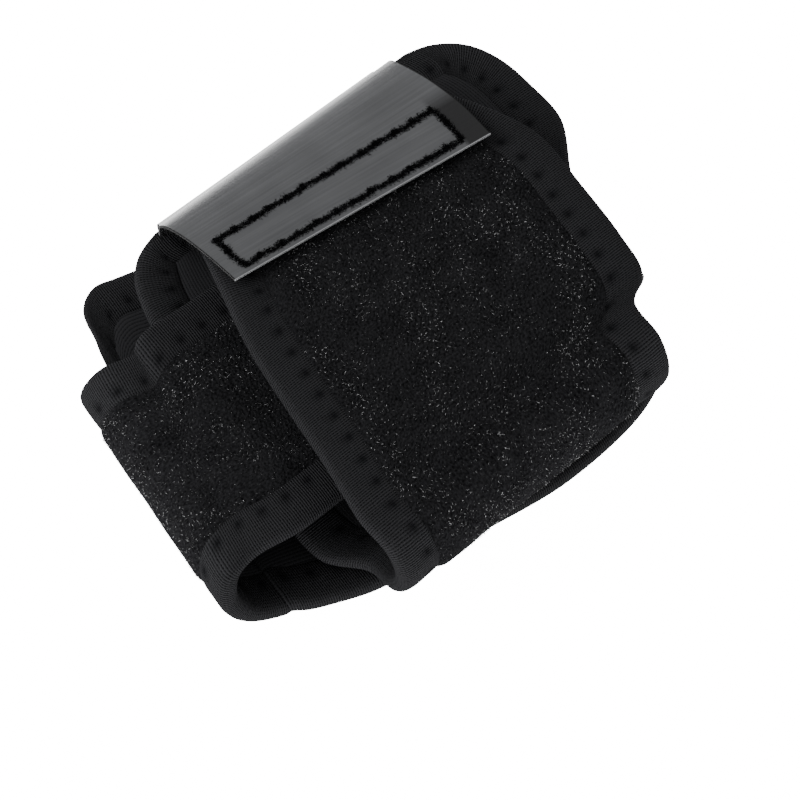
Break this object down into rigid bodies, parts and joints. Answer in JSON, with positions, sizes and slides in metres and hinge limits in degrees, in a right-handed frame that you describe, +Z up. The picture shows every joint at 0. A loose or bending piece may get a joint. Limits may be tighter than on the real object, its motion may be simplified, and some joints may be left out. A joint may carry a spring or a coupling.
{
  "type": "drop foot brace",
  "caption": "Soft drop foot brace lying folded flat: wide foot loop crossed by a narrower ankle strap, loop-pile cloth with ribbed knit edging and moulded hook tabs.",
  "frame": {"origin": "middle of the folded brace's outline, on the surface that it lies on", "axes": "+Z up from the surface, X along the ankle strap from its left fold to its right end, +Y from the near fold of the foot strap towards its fastened far turn"},
  "size_m": [0.1046, 0.0834, 0.0349],
  "materials": {
    "loop_pile": "black brushed loop pile outside, smooth dark jersey inside",
    "knit_binding": "ribbed elastic knit binding, dark grey, stitched along its inner line",
    "hook_tape": "moulded grey hook tape with fine ribs and a soft sheen",
    "loop_pile_narrow": "black brushed loop pile outside, smooth dark jersey inside",
    "knit_binding_narrow": "ribbed elastic knit binding, dark grey, stitched along its inner line",
    "hook_tape_small": "moulded grey hook tape with fine ribs and a soft sheen"
  },
  "bodies": {
    "root": {"foot_strap": "loop_pile", "foot_strap_binding": "knit_binding", "foot_hook_tab": "hook_tape", "ankle_strap": "loop_pile_narrow", "ankle_strap_binding": "knit_binding_narrow", "ankle_hook_tab": "hook_tape_small"}
  },
  "joints": []
}
